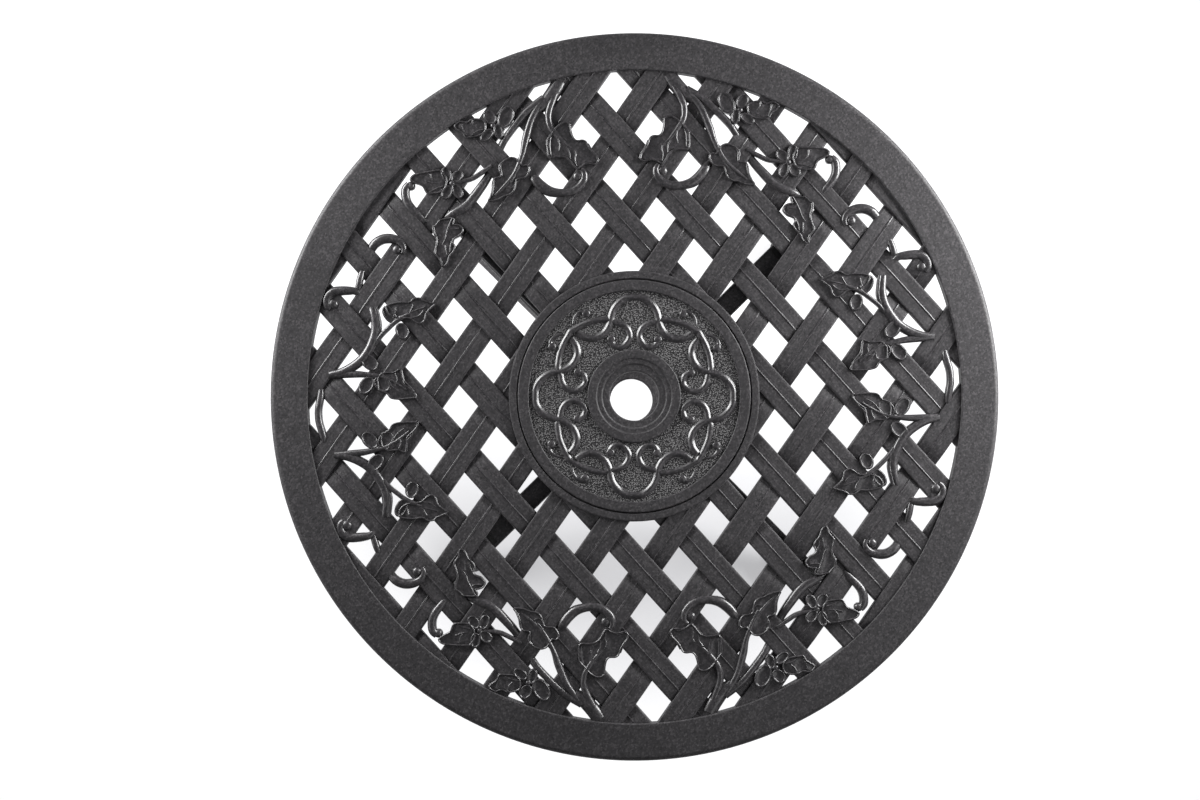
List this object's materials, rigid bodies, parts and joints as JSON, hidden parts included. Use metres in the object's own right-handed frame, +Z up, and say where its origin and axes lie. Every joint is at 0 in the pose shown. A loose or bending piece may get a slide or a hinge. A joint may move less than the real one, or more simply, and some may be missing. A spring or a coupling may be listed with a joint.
{
  "type": "umbrella table",
  "caption": "Round cast-metal garden umbrella table: woven lattice top with vine ornament, scroll medallion around the pole hole, S-shaped legs on levelling glides.",
  "frame": {"origin": "on the floor below the centre of the pole hole, at the bottom centre of the table's box", "axes": "+Z up along the umbrella pole; +X to the right and +Y away as the picture looks down, with the legs on the diagonals"},
  "size_m": [0.61, 0.61, 0.54],
  "materials": {
    "coat": "cast, with a finely textured warm charcoal powder coat",
    "zinc": "zinc plated",
    "brass": "turned",
    "nylon": "moulded, matt",
    "rubber": "matt"
  },
  "bodies": {
    "table": {"tabletop_casting": "coat", "hub_medallion": "coat", "lower_pole_ring": "coat", "leg_ne": "coat", "leg_nw": "coat", "leg_sw": "coat", "leg_se": "coat", "top_bumper_ne": "rubber", "top_bumper_nw": "rubber", "top_bumper_sw": "rubber", "top_bumper_se": "rubber", "hub_washer_ne": "zinc", "hub_washer_nw": "zinc", "hub_washer_sw": "zinc", "hub_washer_se": "zinc", "hub_screw_ne": "zinc", "hub_screw_nw": "zinc", "hub_screw_sw": "zinc", "hub_screw_se": "zinc", "ring_washer_ne": "zinc", "ring_washer_nw": "zinc", "ring_washer_sw": "zinc", "ring_washer_se": "zinc", "ring_screw_ne": "zinc", "ring_screw_nw": "zinc", "ring_screw_sw": "zinc", "ring_screw_se": "zinc", "foot_insert_ne": "brass", "foot_insert_nw": "brass", "foot_insert_sw": "brass", "foot_insert_se": "brass"},
    "glide_ne": {"glide_base_ne": "nylon", "glide_stud_ne": "zinc"},
    "glide_nw": {"glide_base_nw": "nylon", "glide_stud_nw": "zinc"},
    "glide_sw": {"glide_base_sw": "nylon", "glide_stud_sw": "zinc"},
    "glide_se": {"glide_base_se": "nylon", "glide_stud_se": "zinc"}
  },
  "joints": [
    {"name": "glide_ne_screw_out", "type": "slide", "parent": "table", "child": "glide_ne", "axis": [0, 0, -1], "range_m": [0, 0.012]},
    {"name": "glide_nw_screw_out", "type": "slide", "parent": "table", "child": "glide_nw", "axis": [0, 0, -1], "range_m": [0, 0.012]},
    {"name": "glide_sw_screw_out", "type": "slide", "parent": "table", "child": "glide_sw", "axis": [0, 0, -1], "range_m": [0, 0.012]},
    {"name": "glide_se_screw_out", "type": "slide", "parent": "table", "child": "glide_se", "axis": [0, 0, -1], "range_m": [0, 0.012]}
  ]
}
